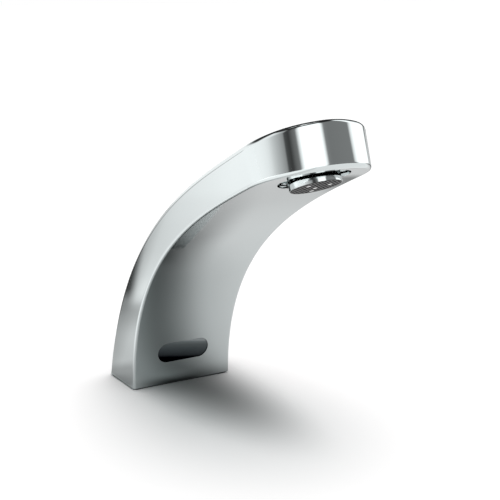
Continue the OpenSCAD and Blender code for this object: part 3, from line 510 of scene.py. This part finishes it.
def outlet_mesh(name, lo, hi, matrix):
    """A round mesh of crossed bars and of tabs for the painted highlights, in a thin rim over a floor that
    carries the cells' painted shade, at heights lo to hi.
    """
    bm = bmesh.new()
    for turn in BAR_TURNS:
        spin = matrix @ Matrix.Rotation(math.radians(turn), 4, "Z")
        n = int(MESH_R / MESH_PITCH)
        for k in range(-n, n + 1):
            half = math.sqrt(MESH_R ** 2 - (k * MESH_PITCH) ** 2) - BAR_GAP
            size = Matrix.Diagonal((2 * half * MM, MESH_BAR * MM, (hi - lo) * MM, 1.0))
            place = Matrix.Translation((0, k * MESH_PITCH * MM, (lo + hi) / 2 * MM))
            bmesh.ops.create_cube(bm, size=1.0, matrix=spin @ place @ size)
    for x, y in HIGHLIGHT_TABS:
        place = Matrix.Translation((x * MM, y * MM, (lo + hi - TAB_PROUD) / 2 * MM))
        bmesh.ops.create_cone(bm, cap_ends=True, segments=TAB_SIDES, radius1=TAB_R * MM, radius2=TAB_R * MM,
                              depth=(hi - lo + TAB_PROUD) * MM, matrix=matrix @ place)
    floor_at, rim_r = hi - MESH_FLOOR_T, MESH_R - MESH_RIM
    rim = [(0, floor_at), (rim_r, floor_at), (rim_r, lo), (MESH_R, lo), (MESH_R, hi), (0, hi)]
    ob = turned(name, rim, matrix)
    bm.from_mesh(ob.data)
    bm.to_mesh(ob.data)
    bm.free()
    return ob


def stadium_prism(name, w, h, d0, d1, matrix, sides=40):
    """A stadium in the window's own plane, from depth d0 to depth d1 behind the face."""
    outline = []
    for side in (1, -1):
        for k in range(sides + 1):
            a = math.radians(-90 + 180 * k / sides) + (0 if side > 0 else math.pi)
            outline.append((side * (w - h) / 2 + h / 2 * math.cos(a), h / 2 * math.sin(a)))
    m = len(outline)
    verts = [matrix @ Vector((x * MM, d * MM, z * MM)) for d in (d0, d1) for x, z in outline]
    faces = [tuple(range(m)), tuple(range(2 * m - 1, m - 1, -1))]
    faces += [(i, i + m, (i + 1) % m + m, (i + 1) % m) for i in range(m)]
    ob = mesh_object(name, verts, faces, smooth=False)
    outward(ob)
    return ob


def hollow(name, below=-2.0, steps=60):
    """The room inside the arch, from below the foot to the water chamber."""
    rows = [((-FOOT_DEPTH / 2 + WALL, below), (FOOT_DEPTH / 2 - WALL, below))]
    for j in range(steps + 1):
        a, b, u = section((ARCH_L - CHAMBER_L) * j / steps)
        a, b = a + WALL * u, b - WALL * u
        rows.append(((a.x, a.y), (b.x, b.y)))
    half = SPOUT_W / 2 - WALL
    verts, faces = [], []
    for a, b in rows:
        verts += [(x * MM, y * MM, z * MM) for x, (y, z) in ((-half, a), (half, a), (half, b), (-half, b))]
    for j in range(len(rows) - 1):
        k = 4 * j
        faces += [(k + i, k + (i + 1) % 4, k + 4 + (i + 1) % 4, k + 4 + i) for i in range(4)]
    faces += [(3, 2, 1, 0), tuple(range(len(verts) - 4, len(verts)))]
    ob = mesh_object(name, verts, faces, smooth=False)
    outward(ob)
    return ob


# a face that looks straight down is the foot; a point this near the uncut skin lies on it; a face belongs
# to the skin if its normal agrees with it this well
STRAIGHT_DOWN, ON_SKIN, SAME_SIDE = -0.99, 0.02 * MM, 0.9


def surface_normals(mesh):
    """Returns a function giving the smooth outer normal near a point, without the flat foot."""
    points = [v.co.copy() for v in mesh.vertices]
    skin = [p for p in mesh.polygons if p.normal.z > STRAIGHT_DOWN]
    polys = [tuple(p.vertices) for p in skin]
    sums = [Vector() for _ in points]
    for p in skin:
        for v in p.vertices:
            sums[v] += p.normal * p.area
    tree = BVHTree.FromPolygons(points, polys)

    def normal_at(co):
        loc, _, index, dist = tree.find_nearest(co)
        if dist > ON_SKIN:
            return None
        ids = polys[index]
        weights = poly_3d_calc([points[i] for i in ids], loc)
        total = Vector()
        for i, w in zip(ids, weights):
            total += sums[i].normalized() * w
        return total.normalized()

    return normal_at


def set_normals(mesh, normal_at):
    """Outer faces keep the uncut arch's normals, the rest keeps its own."""
    known = [normal_at(v.co) for v in mesh.vertices]
    normals = [Vector()] * len(mesh.loops)
    for poly in mesh.polygons:
        for li in poly.loop_indices:
            n = known[mesh.loops[li].vertex_index]
            if n is not None and n.dot(poly.normal) > SAME_SIDE:
                normals[li] = n
    mesh.normals_split_custom_set(normals)


def cut(obj, tool):
    """Takes the tool's shape out of obj and deletes the tool."""
    mod = obj.modifiers.new("cut", "BOOLEAN")
    mod.operation = "DIFFERENCE"
    mod.solver = "EXACT"
    mod.object = tool
    bpy.context.view_layer.objects.active = obj
    obj.select_set(True)
    bpy.ops.object.modifier_apply(modifier=mod.name)
    obj.select_set(False)
    bpy.data.objects.remove(tool)


OUTLET_BACK, RECESS_R, RECESS_D, SOCKET_R, SOCKET_D = 21.5, 15.5, 3.8, 12.06, 8.2
WINDOW_S, WINDOW_W, WINDOW_H, WINDOW_D = 16.9, 29.0, 10.8, 6.0
# how far the cutting shapes stand out of the faces they cut
RECESS_OUT, WINDOW_OUT = -4.0, -2.0
# outlet: Y towards the foot along the underside, Z inward; window: Y inward, Z up along the front
outlet_t, window_t = t_at(ARCH_L - OUTLET_BACK), t_at(WINDOW_S)
out_dir, win_dir = along(FRONT, outlet_t), along(FRONT, window_t)
OUTLET = axes_at(on_curve(FRONT, outlet_t), -out_dir, v2(out_dir.y, -out_dir.x))
WINDOW = axes_at(on_curve(FRONT, window_t), v2(win_dir.y, -win_dir.x), win_dir)

shell = dense_slab()
outer_normal = surface_normals(shell.data)
cut(shell, hollow("hollow_cut"))
cut(shell, stadium_prism("window_cut", WINDOW_W, WINDOW_H, WINDOW_OUT, WINDOW_D, WINDOW))
cut(shell, turned("recess_cut", [(0, RECESS_OUT), (RECESS_R, RECESS_OUT), (RECESS_R, RECESS_D),
                                 (SOCKET_R, RECESS_D), (SOCKET_R, SOCKET_D), (0, SOCKET_D)], OUTLET))
for poly in shell.data.polygons:
    poly.use_smooth = True
SHARP_ANGLE = math.radians(38)
shell.data.set_sharp_from_angle(angle=SHARP_ANGLE)
set_normals(shell.data, outer_normal)
shell.data.materials.clear()
shell.data.materials.append(chrome)
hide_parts("spout_body")
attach(shell, "tap")

# the outlet's fine mesh, flush on the barrel's end: its floor, the end of the black painted as shade in its
# cells, and its bars' faces
MESH_BACK, MESH_DARK, MESH_BRIGHT, MESH_FACE = 3.62, 3.66, 3.69, 3.71
outward_axis = -OUTLET.to_3x3().col[2]
at_plane = outward_axis.dot(OUTLET.translation)
grid = outlet_mesh("outlet_mesh", -MESH_FACE, -MESH_BACK, OUTLET)
grid.data.materials.append(mesh_look("outlet_mesh_grey", outward_axis, at_plane + MESH_DARK * MM,
                                     at_plane + MESH_BRIGHT * MM))
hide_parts("outlet_grid")
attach(grid, "aerator")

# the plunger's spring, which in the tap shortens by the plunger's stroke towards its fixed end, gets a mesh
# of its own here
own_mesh(frame["nodes"]["plunger_spring"])

# ---------------------------------------------------------------- floor, world and lamps


class Graph:
    """Small arithmetic on a node tree: every call returns a socket."""

    def __init__(self, tree):
        self.nodes, self.links = tree.nodes, tree.links
        tree.nodes.clear()

    def places(self, output):
        """The X, Y and Z of a texture coordinate."""
        place = self.nodes.new("ShaderNodeTexCoord")
        split = self.nodes.new("ShaderNodeSeparateXYZ")
        self.links.new(place.outputs[output], split.inputs[0])
        return split.outputs

    def put(self, socket, value):
        """Sets a socket to a number or links another socket to it."""
        if isinstance(value, (int, float)):
            socket.default_value = value
        else:
            self.links.new(value, socket)

    def math(self, op, a, b=0.0, clamp=False):
        node = self.nodes.new("ShaderNodeMath")
        node.operation = op
        node.use_clamp = clamp
        self.put(node.inputs[0], a)
        self.put(node.inputs[1], b)
        return node.outputs[0]

    def add(self, a, b):
        return self.math("ADD", a, b)

    def sub(self, a, b):
        return self.math("SUBTRACT", a, b)

    def mul(self, a, b, *more):
        product = self.math("MULTIPLY", a, b)
        for factor in more:
            product = self.math("MULTIPLY", product, factor)
        return product

    def either(self, a, b):
        return self.math("MAXIMUM", a, b)

    def line(self, x, y, a, b, c):
        """a x + b y + c"""
        return self.add(self.add(self.mul(x, a), self.mul(y, b)), c)

    def soft(self, value, lo, hi, out_lo=0.0, out_hi=1.0):
        """A smooth step from lo to hi."""
        node = self.nodes.new("ShaderNodeMapRange")
        node.interpolation_type = "SMOOTHSTEP"
        self.put(node.inputs["Value"], value)
        node.inputs["From Min"].default_value = lo
        node.inputs["From Max"].default_value = hi
        node.inputs["To Min"].default_value = out_lo
        node.inputs["To Max"].default_value = out_hi
        return node.outputs["Result"]

    def blob(self, x, y, at, radius):
        """A soft ellipse: 1 in its middle, 0 outside."""
        u = self.line(x, y, 1.0 / radius[0], 0.0, -at[0] / radius[0])
        v = self.line(x, y, 0.0, 1.0 / radius[1], -at[1] / radius[1])
        d = self.math("SQRT", self.add(self.mul(u, u), self.mul(v, v)))
        return self.soft(d, 0.0, 1.0, 1.0, 0.0)

    def less(self, value, mask, share):
        """value x (1 - share x mask)"""
        return self.mul(self.sub(1.0, self.mul(mask, share)), value)

    def curve(self, value, lo, hi, stops):
        """A curve of value between lo and hi, straight between its stops."""
        level = level_between(self.nodes, self.links, value, lo, hi)
        return ramp(self.nodes, self.links, level, [((at - lo) / (hi - lo), val) for at, val in stops])


# key light: a wide soft source overhead; the world gives the other half of the light
KEY_STRENGTH, KEY_COLOR, KEY_ANGLE = 2.02, (1.0, 0.92, 0.92), math.radians(50)
KEY_DIRECTION = Vector((-0.07, 0.16, -1.0))
sun_data = bpy.data.lights.new("key", "SUN")
sun_data.energy = KEY_STRENGTH
sun_data.color = KEY_COLOR
sun_data.angle = KEY_ANGLE
sun = bpy.data.objects.new("key", sun_data)
scene.collection.objects.link(sun)
sun.rotation_euler = KEY_DIRECTION.to_track_quat("-Z", "Y").to_euler()
sun.visible_glossy = False

FLOOR_HALF = 9
FLOOR_CORNERS = [(x * FLOOR_HALF, y * FLOOR_HALF, 0) for x, y in ((-1, -1), (1, -1), (1, 1), (-1, 1))]
# the floor's brightness for the camera, for matt pieces, and for matt pieces by way of metal
FLOOR_SHOWN, FLOOR_BOUNCE, FLOOR_SECOND = 1.1, 0.86, 0.12
# the share of light that the painted shadow beneath the spout takes from the floor for the camera
SHADOW_SHARE = 0.7
# the clear patch under the foot ends this far inside its outline
CLEAR_MARGIN = 1.0
floor_mesh = mesh_object("floor", FLOOR_CORNERS, [(0, 1, 2, 3)], smooth=False)
floor_mat = bpy.data.materials.new("floor_white")
floor_mat.use_nodes = True
g = Graph(floor_mat.node_tree)
# places on the floor in millimetres
floor_x, floor_y, _ = g.places("Object")
fx, fy = g.mul(floor_x, 1 / MM), g.mul(floor_y, 1 / MM)
rays = g.nodes.new("ShaderNodeLightPath")
# what polished metal sees of the floor is a painted reflection, which the camera does not see: its brightness
# goes by the distance towards the back left, and changes a little across the edge of the dark strip painted
# behind the spout; these curves' stops and the masks below are fitted to brightness levels measured in the
# photograph
away = g.line(fx, fy, -0.6, 0.8, 0.0)
edge = g.line(fx, fy, 1.0, 0.577, 17.3)
far = g.curve(away, 0.0, 1000.0, [
    (0, 1.0), (40, 0.87), (75, 0.81), (98, 0.76), (123, 0.70), (148, 0.65), (160, 0.76), (176, 1.14),
    (190, 1.26), (207, 1.26), (240, 1.14), (275, 1.09), (314, 1.05), (405, 1.07), (456, 1.11), (515, 1.13),
    (579, 1.20), (651, 1.22), (1000, 1.27)])
across = g.curve(edge, -80.0, 10.0, [(-80, 1.22), (-40, 1.12), (-20, 1.06), (-8, 1.0), (-3, 0.86), (4, 0.72)])
across = g.add(g.mul(g.sub(across, 1.0), g.soft(away, 10.0, 45.0)), 1.0)
# a dark strip painted on the floor behind the spout, seen only in metal, with a sharper edge on its left
strip_edge = g.line(fx, fy, 1.0, 0.527, 26.3)
strip = g.mul(g.soft(strip_edge, -3.5, 5.0), g.soft(fy, 105.0, 175.0), g.soft(fy, 300.0, 380.0, 1.0, 0.0))
behind = g.mul(g.soft(edge, 12.0, 45.0), g.soft(edge, 150.0, 300.0, 1.0, 0.0), g.soft(fy, 90.0, 175.0),
               g.soft(fy, 450.0, 650.0, 1.0, 0.35))
# a dark stripe painted on the floor, seen only in metal, lies beside the foot and runs back on its right
stripe_at = g.mul(g.curve(fy, -60.0, 60.0, [
    (-60, 0.0), (-42, 0.03), (-30, 0.08), (-18, 0.20), (-6, 0.35), (6, 0.46), (24, 0.62), (60, 0.89)]), 100.0)
stripe_off = g.sub(fx, stripe_at)
painted_stripe = g.mul(g.soft(stripe_off, 0.0, 33.0, 1.0, 0.0), g.soft(stripe_off, -22.0, 0.0), g.soft(fy, -95.0, -30.0),
             g.soft(fy, -25.0, 60.0, 1.0, 0.25))
# the tap's painted shadow, seen only in metal: at its foot, to its right and close on its left
under = g.mul(g.soft(fy, -28.0, -17.0), g.soft(fx, 5.0, 24.0, 1.0, 0.0), g.soft(fx, -32.0, -4.0),
              g.soft(fy, 12.0, 22.0, 1.0, 0.0))
beside = g.mul(g.soft(fy, -25.0, 48.0), g.soft(fx, 0.0, 30.0))
right = g.blob(fx, fy, (176.0, 48.0), (34.0, 30.0))
foot_left = g.mul(g.soft(fx, -62.0, -40.0), g.soft(fx, -31.0, -27.0, 1.0, 0.0), g.soft(fy, -12.0, -3.0),
                  g.soft(fy, 18.0, 34.0, 1.0, 0.0))
# painted light, seen only in metal: brighter ground on the left and in front
left = g.mul(g.soft(fx, -90.0, -45.0, 1.0, 0.0), g.soft(fy, 50.0, 110.0, 1.0, 0.0))
near = g.mul(g.soft(fy, -75.0, -30.0, 1.0, 0.0), g.soft(fx, -20.0, 20.0))
seen = g.mul(far, across, g.add(1.0, g.mul(left, 0.5)), g.add(1.0, g.mul(near, 0.22)))
# the painted shadow and the painted dark strips take their shares off what metal sees of the floor
darkened = ((g.either(strip, behind), 0.93), (painted_stripe, 0.56), (under, 0.92), (beside, 0.26), (right, 0.6),
            (foot_left, 0.35))
for mask, share in darkened:
    seen = g.less(seen, mask, share)
direct = g.math("LESS_THAN", rays.outputs["Diffuse Depth"], 0.5)
glossy = g.either(rays.outputs["Is Glossy Ray"], rays.outputs["Is Transmission Ray"])
# the floor as the camera sees it, with a soft shadow painted beneath the spout over the lamp's own, as metal
# and glass show it, and as it lights the rest
camera_ray = rays.outputs["Is Camera Ray"]
# a soft shadow painted on the floor beneath the spout, for the camera
painted_shadow = g.blob(fx, fy, (6.0, -28.0), (38.0, 115.0))
value = g.add(g.mul(camera_ray, g.less(FLOOR_SHOWN, painted_shadow, SHADOW_SHARE)), g.mul(glossy, direct, seen))
value = g.add(value, g.mul(g.sub(1.0, g.math("ADD", camera_ray, glossy, True)), FLOOR_BOUNCE))
value = g.add(value, g.mul(glossy, g.sub(1.0, direct), FLOOR_SECOND))
shade = g.nodes.new("ShaderNodeBsdfDiffuse")
g.links.new(value, shade.inputs["Color"])
# from beneath the floor is clear, and under the foot too, so the foot can be looked at
below = g.nodes.new("ShaderNodeNewGeometry")
foot_x = g.math("LESS_THAN", g.math("ABSOLUTE", fx), SPOUT_W / 2 - CLEAR_MARGIN)
foot_y = g.math("LESS_THAN", g.math("ABSOLUTE", fy), FOOT_DEPTH / 2 - CLEAR_MARGIN)
mix = g.nodes.new("ShaderNodeMixShader")
g.links.new(g.either(below.outputs["Backfacing"], g.mul(foot_x, foot_y)), mix.inputs[0])
g.links.new(shade.outputs[0], mix.inputs[1])
g.links.new(g.nodes.new("ShaderNodeBsdfTransparent").outputs[0], mix.inputs[2])
out = g.nodes.new("ShaderNodeOutputMaterial")
g.links.new(mix.outputs[0], out.inputs[0])
floor_mesh.data.materials.append(floor_mat)

# how dark the ceiling is in metal, how much the world lights, and how much red its light lacks
ROOF_DARK, FILL_STRENGTH, FILL_COOL = 0.965, 0.42, 0.12
world = bpy.data.worlds.new("studio")
scene.world = world
world.use_nodes = True
g = Graph(world.node_tree)
dx, dy, dz = g.places("Generated")
rays = g.nodes.new("ShaderNodeLightPath")
# azimuth in degrees, 0 towards +Y and 90 towards +X
turn = g.mul(g.math("ARCTAN2", dx, dy), 180.0 / math.pi)
rise = g.mul(g.math("ARCSINE", dz), 180.0 / math.pi)
# screens and flags of the studio, by azimuth, also fitted to measured levels
bands = g.curve(turn, -180.0, 180.0, [
    (-180, 2.0), (-162, 2.0), (-157, 1.1), (-154, 0.28), (-148, 0.20), (-141, 0.07), (-136, 0.09),
    (-132, 0.13), (-129, 0.44), (-118, 0.68), (-111, 0.82), (-104, 1.0), (-96, 1.26), (-88, 1.4), (-75, 1.5),
    (-56, 1.55), (-30, 1.5), (28, 1.2), (36, 0.5), (44, 0.16), (66, 0.18), (71, 1.6), (76, 1.9), (102, 1.9),
    (107, 1.3), (111, 0.32), (154, 0.29), (161, 0.34), (165, 1.5), (169, 2.0), (180, 2.0)])
# dark ceiling: low over the back, higher over the rest, with a light panel straight above the front
back = g.mul(g.soft(turn, -70.0, -45.0), g.soft(turn, 66.0, 90.0, 1.0, 0.0))
roof = g.either(g.mul(back, g.soft(rise, 10.0, 26.0)), g.soft(rise, 47.0, 58.0))
panel = g.mul(g.soft(rise, 72.0, 78.0), g.soft(dy, -0.01, 0.03, 1.0, 0.0))
roof = g.mul(roof, g.sub(1.0, panel))
seen = g.less(bands, roof, ROOF_DARK)
direct = g.math("LESS_THAN", rays.outputs["Diffuse Depth"], 0.5)
glossy = rays.outputs["Is Glossy Ray"]
clear = g.math("ADD", rays.outputs["Is Camera Ray"], rays.outputs["Is Transmission Ray"], True)
strength = g.add(g.mul(glossy, direct, seen), clear)
lamp = g.sub(1.0, g.math("ADD", g.mul(glossy, direct), clear, True))
strength = g.add(strength, g.mul(lamp, g.sub(1.0, glossy), FILL_STRENGTH))
sky = g.nodes.new("ShaderNodeBackground")
g.links.new(strength, sky.inputs["Strength"])
# the light that fills the shadow is a little cool
fill = g.nodes.new("ShaderNodeCombineColor")
g.links.new(g.sub(1.0, g.mul(lamp, FILL_COOL)), fill.inputs["Red"])
fill.inputs["Green"].default_value = 1.0
fill.inputs["Blue"].default_value = 1.0
g.links.new(fill.outputs[0], sky.inputs["Color"])
out = g.nodes.new("ShaderNodeOutputWorld")
g.links.new(sky.outputs[0], out.inputs[0])
